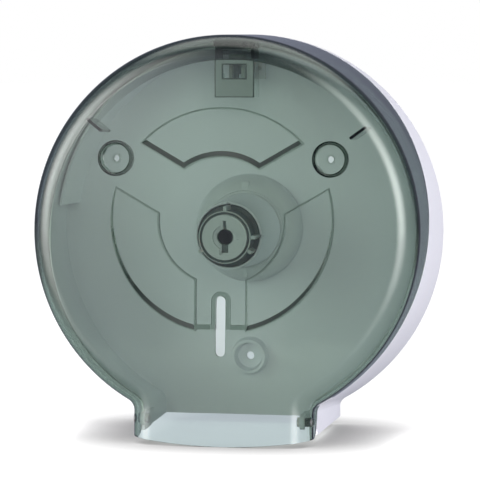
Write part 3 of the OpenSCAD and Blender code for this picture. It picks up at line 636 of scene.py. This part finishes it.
def add_node(tree, kind, settings=(), *ordered, **named):
    """Adds a shader node, sets its attributes, then fills or links its inputs: the ordered values
    go to its live inputs from the first on, the others by name. A node given as a value stands for
    its first live output."""
    node = tree.nodes.new("ShaderNode" + kind)
    for name, value in dict(settings).items():
        setattr(node, name, value)
    inputs = list(zip([socket for socket in node.inputs if socket.enabled], ordered))
    inputs += [(node.inputs[name.replace("_", " ")], value) for name, value in named.items()]
    for socket, value in inputs:
        if isinstance(value, bpy.types.Node):
            value = next(output for output in value.outputs if output.enabled)
        if isinstance(value, bpy.types.NodeSocket):
            tree.links.new(value, socket)
        else:
            socket.default_value = value
    return node


def start_material(name):
    """An empty material: its tree, and its Object coordinates in metres."""
    material = bpy.data.materials.new(name)
    material.use_nodes = True
    material.node_tree.nodes.clear()
    print("finish:", name)
    return material, material.node_tree, add_node(material.node_tree, "TexCoord").outputs["Object"]


def per_mm(size):
    """Noise scale whose blotches measure about this many mm."""
    return 1 / (size * MM)


# %% [markdown]
# ## White ABS
# ABS from a lightly textured mould is a satin white with a trace of blue, added so that it doesn't
# look yellow. A plain diffuse colour would look like plaster. The gloss comes from the Principled
# shader at the IOR of ABS, and two faint noises break it up: a flow pattern some 30 mm wide in
# the roughness, and the 0.6 mm grain of the mould in a shallow bump.

# %% White ABS
ABS_IOR, FLOW_SIZE, MOULD_GRAIN = 1.54, 30, 0.6        # sizes in mm


def white_abs(name, colour, rough=0.34):
    """Satin plastic with a flow pattern in its gloss and the mould's grain as relief."""
    material, tree, place = start_material(name)
    flow = add_node(tree, "TexNoise", Vector=place, Scale=per_mm(FLOW_SIZE), Detail=3.0)
    gloss = add_node(tree, "MapRange", Value=flow, To_Min=rough - 0.05, To_Max=rough + 0.06)
    grain = add_node(tree, "TexNoise", Vector=place, Scale=per_mm(MOULD_GRAIN), Detail=2.0)
    relief = add_node(tree, "Bump", Height=grain, Strength=0.12, Distance=0.05 * MM)
    surface = add_node(tree, "BsdfPrincipled", Base_Color=srgb(colour), IOR=ABS_IOR,
                       Roughness=gloss, Normal=relief)
    add_node(tree, "OutputMaterial", Surface=surface)
    return material


abs_white = white_abs("moulded_white_abs", "E4E5EE")
abs_spindle = white_abs("moulded_grey_white_abs", "D2D4DA", 0.3)

# %% [markdown]
# ## Smoke SAN
# SAN is a clear, hard plastic with an IOR of 1.57. The smoke tint is in the material, so the
# colour deepens with the way that light travels through it: pale across the 2.5 mm face, nearly
# black along the rounding. A tinted surface can't do that, but an absorbing volume inside a clear
# shell does. Light has to reach the housing behind it, so shadow rays pass straight through and
# are dimmed by the same volume. The slopes of the pockets are spark-eroded, which makes them rough;
# their colour is also darkened as painted shade, the more so the more they look up. The inside of
# the rounding at the top carries a crescent of painted shade, which stands for the shade of the
# housing's wall behind the cover. A second material would leave the ray inside the first one's
# volume, so one material reads marks on the faces, and the crescent is drawn in Object
# coordinates, because marked faces would give it steps.

# %% The painted crescent of shade
SAN_IOR, SAN_ROUGH, ERODED_ROUGH = 1.57, 0.03, 0.3
SAN_TINT, SAN_DENSITY = "84A28D", 430.0                # absorption per metre where the tint is black
# Both tones below are painted shade: one darkens the pocket slopes that look up, the other a crescent
# inside the rounding.
SLOPE_SHADE_TONE, CRESCENT_SHADE_TONE = "18221E", "46504A"        # what a surface lets through there
CRESCENT_Z, CRESCENT_IN_X, CRESCENT_IN, CRESCENT_OUT = 4.6, 4.5, 116.3, 122.0      # two circles, mm
smoke, tree, place = start_material("smoke_san")
marks = {name: add_node(tree, "Attribute", {"attribute_name": name}).outputs["Fac"]
         for name in ("eroded", "steep", "shaded")}
flat = add_node(tree, "VectorMath", TIMES, place, (1, 0, 1))
from_inner, from_outer = (add_node(tree, "VectorMath", FAR_FROM, flat, (x * MM, 0, CRESCENT_Z * MM))
                          for x in (CRESCENT_IN_X, 0))
axis = add_node(tree, "SeparateXYZ", (), place)
angle = add_node(tree, "Math", ANGLE, axis.outputs["X"], axis.outputs["Z"])
# painted shade: a crescent that darkens the inside of the rounding at the top, for the shade of the
# housing's wall behind the cover
crescent_shade = marks["shaded"]
for value, start, end, low, high in (
        (from_inner, (CRESCENT_IN - 0.4) * MM, (CRESCENT_IN + 0.4) * MM, 0.0, 1.0),
        (from_outer, CRESCENT_OUT * MM, (CRESCENT_OUT + 4) * MM, 1.0, 0.0),
        (angle, math.radians(-52), 0.0, 0.4, 1.0),     # fainter towards the left
        (angle, math.radians(-56), math.radians(-46), 0.0, 1.0),
        (angle, math.radians(24), math.radians(42), 1.0, 0.0)):
    part = add_node(tree, "MapRange", SOFT, value, start, end, low, high)
    crescent_shade = add_node(tree, "Math", TIMES, crescent_shade, part)

# %% Smoke SAN
STEEP_CLEAR = 0.75                                     # share that a steep wall lets straight through
base_with_shade = add_node(tree, "Mix", COLOURS, crescent_shade, WHITE, srgb(CRESCENT_SHADE_TONE))
base_with_shade = add_node(tree, "Mix", COLOURS, marks["eroded"], base_with_shade, srgb(SLOPE_SHADE_TONE))
gloss = add_node(tree, "MapRange", Value=marks["eroded"], To_Min=SAN_ROUGH, To_Max=ERODED_ROUGH)
flow = add_node(tree, "TexNoise", Vector=place, Scale=per_mm(25), Detail=1.0)
relief = add_node(tree, "Bump", Height=flow, Strength=0.15, Distance=0.3 * MM)
clear = add_node(tree, "BsdfPrincipled", Base_Color=base_with_shade, Roughness=gloss, IOR=SAN_IOR,
                 Transmission_Weight=1.0, Normal=relief)
through = add_node(tree, "BsdfTransparent", Color=WHITE)
straight = add_node(tree, "Math", LARGER, add_node(tree, "LightPath").outputs["Is Shadow Ray"],
                    add_node(tree, "Math", TIMES, marks["steep"], STEEP_CLEAR))
surface = add_node(tree, "MixShader", (), straight, clear, through)
body = add_node(tree, "VolumeAbsorption", Color=srgb(SAN_TINT), Density=SAN_DENSITY)
add_node(tree, "OutputMaterial", Surface=surface, Volume=body)

# %% [markdown]
# ## Nylon, steel and felt
# Nylon looks milky: light enters it a little before it comes back, and the surface is a dull satin
# with faint cloudy streaks some 8 mm long. A plain grey would look like paint. Zinc-plated steel
# is a bright metal whose passivated skin drifts between bluish and yellowish over a few mm, with
# fine drawing lines along it. Pressed felt has no gloss at all and is a mat of 0.3 mm fibres, so
# two stretched noises in different directions drive both its colour and a deep bump.

# %% Nylon
NYLON_IOR, NYLON_ROUGH, CLOUD_SIZE, NYLON_GRAIN = 1.53, 0.46, 8, 0.4
TIP_Y = -28                                            # mm, where a piece with a darker tip changes


def nylon_of(name, colour, tip=None):
    """Milky satin plastic, with a darker tip towards the front if one is given."""
    material, tree, place = start_material(name)
    cloud = add_node(tree, "TexNoise", Vector=place, Scale=per_mm(CLOUD_SIZE), Detail=3.0)
    cloudy = [0.82 * c for c in srgb(colour)[:3]] + [1]
    tone = add_node(tree, "Mix", COLOURS, cloud, srgb(colour), cloudy)
    if tip:
        depth = add_node(tree, "SeparateXYZ", (), place).outputs["Y"]
        behind = add_node(tree, "MapRange", SOFT, depth, (TIP_Y - 2) * MM, (TIP_Y + 2) * MM, 0.0, 1.0)
        tone = add_node(tree, "Mix", COLOURS, behind, srgb(tip), tone)
    gloss = add_node(tree, "MapRange", Value=cloud, To_Min=NYLON_ROUGH - 0.08, To_Max=NYLON_ROUGH + 0.08)
    grain = add_node(tree, "TexNoise", Vector=place, Scale=per_mm(NYLON_GRAIN), Detail=2.0)
    relief = add_node(tree, "Bump", Height=grain, Strength=0.15, Distance=0.04 * MM)
    surface = add_node(tree, "BsdfPrincipled", Base_Color=tone, IOR=NYLON_IOR, Roughness=gloss,
                       Normal=relief, Subsurface_Weight=0.2, Subsurface_Scale=0.6 * MM)
    add_node(tree, "OutputMaterial", Surface=surface)
    return material


nylon = nylon_of("moulded_grey_nylon", "62686A")
nylon_pale = nylon_of("moulded_pale_nylon", "C4C8CC")
nylon_natural = nylon_of("moulded_natural_nylon", "D0D2D8", tip="4E5456")
nylon_tongue = nylon_of("moulded_tongue_nylon", "9EA5A2")


# %% Zinc-plated steel
SKIN_SIZE, LINE_SIZE = 3, 0.15                         # mm
zinc, tree, place = start_material("zinc_plated_steel")
skin = add_node(tree, "TexNoise", Vector=place, Scale=per_mm(SKIN_SIZE), Detail=2.0)
tone = add_node(tree, "Mix", COLOURS, skin, srgb("B9C0CB"), srgb("CFCBBE"))
along = add_node(tree, "Mapping", Vector=place, Scale=(0.05, 1.0, 1.0))
lines = add_node(tree, "TexNoise", Vector=along, Scale=per_mm(LINE_SIZE), Detail=2.0)
gloss = add_node(tree, "MapRange", Value=lines, To_Min=0.2, To_Max=0.42)
relief = add_node(tree, "Bump", Height=lines, Strength=0.1, Distance=0.02 * MM)
surface = add_node(tree, "BsdfPrincipled", Base_Color=tone, Metallic=1.0, Roughness=gloss, Normal=relief)
add_node(tree, "OutputMaterial", Surface=surface)

# %% Pressed felt
FIBRE_SIZE = 0.3                                       # mm
felt, tree, place = start_material("pressed_felt")
strands = []
for stretch in ((0.2, 1.0, 1.0), (1.0, 1.0, 0.2)):
    along = add_node(tree, "Mapping", Vector=place, Scale=stretch)
    strands.append(add_node(tree, "TexNoise", Vector=along, Scale=per_mm(FIBRE_SIZE), Detail=4.0))
mat = add_node(tree, "Math", LARGER, *strands)
tone = add_node(tree, "Mix", COLOURS, mat, srgb("5E5C56"), srgb("8C8982"))
relief = add_node(tree, "Bump", Height=mat, Strength=0.6, Distance=0.2 * MM)
surface = add_node(tree, "BsdfPrincipled", Base_Color=tone, Roughness=0.95, Sheen_Weight=0.4,
                   Normal=relief)
add_node(tree, "OutputMaterial", Surface=surface)

# %% [markdown]
# ## The lock behind the face
# The case and the plate of the lock are thin and clear, of the same SAN. They hardly bend what is
# behind them, so light goes straight through and only a share of it is lost in the plastic. The
# cap of the case is dark and nearly opaque, and so is the rim of the plate, where one looks along
# its edge. Masks in Object coordinates set both off. A volume as in the cover would be truer, but
# these pieces are so thin that it would hardly show, and light crosses a plain clear sheet with far
# less noise.

# %% Thin SAN
EDGE_BLUR = 0.3                                        # mm over which the cap's mask sets in


def thin_san(name, clear_share, mask):
    """Thin parts: light goes straight through, save where the mask makes the part dark."""
    material, tree, place = start_material(name)
    axis = add_node(tree, "SeparateXYZ", (), place)
    cloud = add_node(tree, "TexNoise", Vector=place, Scale=per_mm(6), Detail=2.0)
    gloss = add_node(tree, "MapRange", Value=cloud, To_Min=0.25, To_Max=0.4)
    clear = add_node(tree, "BsdfTransparent", Color=srgb("FAFCFB"))
    sheen, mass = (add_node(tree, "BsdfPrincipled", Base_Color=srgb(tone), IOR=SAN_IOR, Roughness=gloss)
                   for tone in ("A3A9AB", "2A3230"))
    pane = add_node(tree, "MixShader", (), 1 - clear_share, clear, sheen)
    surface = add_node(tree, "MixShader", (), mask(tree, axis), pane, mass)
    add_node(tree, "OutputMaterial", Surface=surface)
    return material


def above(edge):
    """Mask: dark above a height in mm."""
    return lambda tree, axis: add_node(tree, "MapRange", (), axis.outputs["Z"],
                                       (edge - EDGE_BLUR) * MM, (edge + EDGE_BLUR) * MM)


def past(tree, axis, half, low, high):
    """How far a point lies outside a rectangle in the XZ plane; below zero inside."""
    middle = add_node(tree, "Math", MINUS, axis.outputs["Z"], (low + high) / 2 * MM)
    beside, over = (add_node(tree, "Math", MINUS, add_node(tree, "Math", UNSIGNED, value), reach * MM)
                    for value, reach in ((axis.outputs["X"], half), (middle, (high - low) / 2)))
    return add_node(tree, "Math", LARGER, beside, over)


def rims(plate, window, width):
    """Mask: dense along the outer edge of a plate and along the edge of its window."""
    def mask(tree, axis):
        outside = add_node(tree, "MapRange", SOFT, past(tree, axis, *plate),
                           -width * MM, (0.2 - width) * MM, 0.0, 1.0)
        inside = add_node(tree, "MapRange", SOFT, past(tree, axis, *window),
                          width * MM, (0.2 + width) * MM, 1.0, 0.0)
        return add_node(tree, "Math", TIMES, add_node(tree, "Math", LARGER, outside, inside), 0.9)
    return mask


# %% Finishes of the lock
CAP_FROM = 121.5                                       # height of the case's cap in mm
LOCK_PLATE, LOCK_WINDOW = (13.8, 94.5, 121), (8, 107.8, 117)       # half width, low, high in mm
RIM_WIDTH = 0.75
case_san = thin_san("smoke_san_case", 1.0, above(CAP_FROM))
plate_san = thin_san("smoke_san_plate", 0.2, rims(LOCK_PLATE, LOCK_WINDOW, RIM_WIDTH))

# %% [markdown]
# ## Every part gets its finish
# The frame's record names a material slot for each part, so most parts take their finish by slot.
# A few differ from their slot's usual tone, and the plug has two: its front and its lugs are pale,
# and its side, its flange and its groove are grey, as painted shade. Then the cover's faces are
# marked for the smoke material. The marks could be painted by hand, but picked by where a face lies
# and which way it looks, they hold when a size changes. A slope is marked the more, the more it
# looks up, which paints shade on it as well as making it rough.

# %% Finishes by slot
finishes = {"white_abs": abs_white, "smoke_san": smoke, "dark_nylon": nylon, "steel": zinc, "felt": felt}
slots = {part["node"]: part["material_slot"] for part in frame["record"]["subparts"]}
for name, node in nodes.items():
    node.data.materials.clear()
    node.data.materials.append(finishes[slots[name]])
for name, finish in (("lock_case", case_san), ("key_guide", case_san), ("lock_plate", plate_san),
                     ("latch_keeper", nylon_natural), ("latch_tongue", nylon_tongue)):
    nodes[name].data.materials[0] = finish
print("parts with a finish:", len(nodes))

# %% Finishes of the new pieces
for piece, finish in ((ring, abs_white), (foot, abs_spindle), (sleeve, abs_white),
                      (disc, abs_spindle), (plug, nylon_pale), (cover, smoke)):
    piece.data.materials.clear()
    piece.data.materials.append(finish)
plug.data.materials.append(nylon)
# painted shade: the plug's side, flange and groove take the grey nylon, its front and lugs the pale one
for face in plug.data.polygons:
    far_out = math.hypot(face.center.x, face.center.z) > (PLUG_R + 0.1) * MM
    on_lug = far_out and face.center.y < -(POST_OUT + FLANGE_T + 0.1) * MM
    on_front = face.center.y < -(PLUG_OUT - 0.6) * MM
    face.material_index = 0 if on_lug or on_front else 1
print("grey faces of the plug:", sum(face.material_index for face in plug.data.polygons))

# %% Marks on the cover's faces
FLOOR_NORMAL, WALL_NORMAL, FULL_SLOPE = -0.92, -0.41, 0.45      # Y, Y and Z of a face's normal
untilt = (Matrix.Rotation(math.radians(LEAN), 4, "X")
          @ Matrix.Translation((0, -FRONT_Y * MM, -FRONT_RISE * MM)))
values = {name: [0.0] * len(cover.data.polygons) for name in marks}
for i, face in enumerate(cover.data.polygons):
    normal, middle = untilt.to_3x3() @ face.normal, untilt @ face.center / MM
    from_axis = math.hypot(middle.x, middle.z - RING_Z)
    if FACE + 0.1 < middle.y < FACE + SINK - 0.1 and PANEL_IN - 1 < from_axis < PANEL_OUT + 0.5:
        if FLOOR_NORMAL < normal.y < WALL_NORMAL:
            # painted shade: the more a slope looks up, the darker and rougher it is made
            values["eroded"][i] = min(1.0, max(0.0, normal.z / FULL_SLOPE + 0.05))
        values["steep"][i] = float(normal.y > WALL_NORMAL)
    values["shaded"][i] = float(normal.y > 0.1 and middle.y < 0)
for name, shares in values.items():
    cover.data.attributes.new(name, "FLOAT", "FACE").data.foreach_set("value", shares)
    print(name, "faces:", sum(share > 0 for share in shares))

# %% [markdown]
# ## The floor
# The dispenser stands on its chute on white studio paper. A white diffuse sheet under these lamps
# would turn grey away from the middle and burn out near it. So the camera sees a darker paper with
# a glow of its own, which adds up to white where no shadow falls and still lets the dispenser's
# shadow show. Ambient occlusion takes the glow away in the crease under the chute. All other rays
# meet a plain pale paper, so the light that it throws back on the dispenser is natural. Rays through
# the plastic also see a cool glow near the dispenser that fades with distance, painted light that
# keeps the paper bright under the lip. Reflections pass it by, because the glossy cover should show
# the studio and not the table.

# %% Tones of the floor
# The cool tone and the glow through plastic are painted light on the paper near the dispenser.
FLOOR_BOUNCE, FLOOR_TONE, THROUGH_TONE = "D0D0D0", "7C7C7C", "E2E0F4"
FLOOR_GLOW, FLOOR_THROUGH = 0.97, 1.2                  # at the dispenser: to the eye, through plastic
GLOW_NEAR, GLOW_FAR, THROUGH_NEAR, THROUGH_FAR = 0.12, 0.7, 0.35, 0.9      # metres from its foot
CREASE_REACH, CREASE_POWER = 0.05, 1.6
paper, tree, place = start_material("studio_paper")
rays = add_node(tree, "LightPath").outputs
tone = add_node(tree, "Mix", COLOURS, rays["Is Camera Ray"], srgb(FLOOR_BOUNCE), srgb(FLOOR_TONE))
away = add_node(tree, "VectorMath", FAR_FROM, place, (0, -0.06, 0))
fade = add_node(tree, "MapRange", SOFT, away, GLOW_NEAR, GLOW_FAR, FLOOR_GLOW, 1.0)
crease = add_node(tree, "AmbientOcclusion", {"samples": 16}, Distance=CREASE_REACH).outputs["AO"]
soft = add_node(tree, "Math", POWER, crease, CREASE_POWER)
glow = add_node(tree, "Math", TIMES, add_node(tree, "Math", TIMES, fade, soft), rays["Is Camera Ray"])
near = add_node(tree, "MapRange", SOFT, away, THROUGH_NEAR, THROUGH_FAR, FLOOR_THROUGH, 0.0)
glow_through_plastic = add_node(tree, "Math", TIMES, near, rays["Is Transmission Ray"])
light = add_node(tree, "AddShader", (), add_node(tree, "Emission", (), WHITE, glow),
                 add_node(tree, "Emission", (), srgb(THROUGH_TONE), glow_through_plastic))
sheet = add_node(tree, "BsdfDiffuse", Color=tone)
add_node(tree, "OutputMaterial", Surface=add_node(tree, "AddShader", (), sheet, light))

# %% Floor
bpy.ops.object.select_all(action="DESELECT")
bpy.ops.mesh.primitive_plane_add(size=30, location=(0, 0, cad_box[0][2]))
floor = bpy.context.object
floor.name = "studio_floor"
floor.data.materials.append(paper)
floor.visible_glossy = False
print("floor height in mm:", round(floor.location.z / MM, 1))

# %% [markdown]
# ## Lamps
# Four soft boxes light the dispenser, all of them in front of it: one at each side, a weak one
# above and a large one near the camera. The front one is the strongest, because its light goes
# through the smoke cover twice before the eye sees the housing behind. A lamp's own reflection
# would be a hard rectangle in the cover, so the lamps are left out of reflections, and soft panels
# in the surroundings stand in for them.

# %% Lamps
def softbox(name, place, size, power, colour="FFFFFF", aim=(0, -0.05, 0)):
    """A rectangular lamp that faces the dispenser. Places and sizes are in metres."""
    bpy.ops.object.light_add(type="AREA", location=place)
    lamp = bpy.context.object
    lamp.name = name
    lamp.data.shape = "RECTANGLE"
    lamp.data.size, lamp.data.size_y = size
    lamp.data.energy = power
    lamp.data.color = srgb(colour)[:3]
    lamp.rotation_euler = (Vector(aim) - Vector(place)).to_track_quat("-Z", "Y").to_euler()
    lamp.visible_glossy = lamp.visible_transmission = False
    print(name, power, "W")


softbox("left_softbox", (-1.6, -1.6, 0.6), (1.2, 1.6), 54)
softbox("right_softbox", (1.7, -0.9, 0.35), (1.0, 1.4), 30)
softbox("top_softbox", (0, -0.6, 1.8), (1.6, 1.2), 14)
softbox("front_softbox", (0.3, -2.45, 0.35), (1.8, 1.3), 93, "FFF4F4")

# %% [markdown]
# ## Surroundings
# To the eye the studio is plain white. For the plastic's gloss it holds bright panels with soft
# edges: a tall one at the left and one at the right make the two long highlights on the cover's
# rounding, a small haze lies between them, and a faint bluish one fills the far left. Each is
# given by its azimuth and height, as in a photographer's plan. A picture of a studio would do the
# same, but here each highlight can be moved by itself.

# %% Panels seen in reflections
world = bpy.data.worlds.new("studio")
bpy.context.scene.world = world
world.cycles.sampling_method = "NONE"
world.use_nodes = True
tree = world.node_tree
tree.nodes.clear()
axis = add_node(tree, "SeparateXYZ", (), add_node(tree, "TexCoord").outputs["Generated"]).outputs
azimuth = add_node(tree, "Math", ANGLE, axis["X"], add_node(tree, "Math", TIMES, axis["Y"], -1.0))


def glow_at(centre, width, height, tall, power):
    """A soft-edged panel, by azimuth and half width in degrees, height and half height."""
    shares = []
    for value, middle, half in ((azimuth, math.radians(centre), math.radians(width)),
                                (axis["Z"], height, tall)):
        off = add_node(tree, "Math", UNSIGNED, add_node(tree, "Math", MINUS, value, middle))
        shares.append(add_node(tree, "MapRange", SOFT, off, 0.0, half, 1.0, 0.0))
    return add_node(tree, "Math", TIMES, add_node(tree, "Math", TIMES, *shares), power)


panels = add_node(tree, "Math", PLUS, glow_at(-46, 40, 0.2, 0.6, 8.2), glow_at(24, 34, 0.16, 0.52, 8.0))
haze = add_node(tree, "Math", PLUS, glow_at(-19, 9, 0.12, 0.11, 4.6), glow_at(-92, 34, 0.1, 0.8, 0.9))
overhead = add_node(tree, "MapRange", SOFT, axis["Z"], 0.72, 0.94, 0.0, 1.7)
behind = add_node(tree, "MapRange", SOFT, axis["Y"], 0.4, 1.0, 0.17, 0.3)
shine = add_node(tree, "Math", PLUS, add_node(tree, "Math", PLUS, panels, haze),
                 add_node(tree, "Math", PLUS, overhead, behind))
print("nodes for the panels:", len(tree.nodes))

# %% Which ray sees what
LEVEL, COOL = 0.14, "DCE4FF"                           # fill light from all around
rays = add_node(tree, "LightPath").outputs
first = add_node(tree, "Math", BELOW, rays["Diffuse Depth"], 0.5)
glossy = add_node(tree, "Math", TIMES, rays["Is Glossy Ray"], first)
strength = add_node(tree, "Mix", (), glossy, LEVEL, shine)
strength = add_node(tree, "Mix", (), rays["Is Camera Ray"], strength, 1.0)
plain = add_node(tree, "Math", {"operation": "ADD", "use_clamp": True}, rays["Is Camera Ray"],
                 add_node(tree, "Math", PLUS, panels, overhead))
colour = add_node(tree, "Mix", COLOURS, plain, srgb(COOL), WHITE)
sky = add_node(tree, "Background", Color=colour, Strength=strength)
add_node(tree, "OutputWorld", Surface=sky)
print("nodes of the surroundings:", len(tree.nodes))

# %% [markdown]
# ## Colour view
# The renderer's view is set to Standard. The dressed dispenser has to stay inside the box of the
# CAD model.

# %% Colour view
bpy.context.scene.view_settings.view_transform = "Standard"
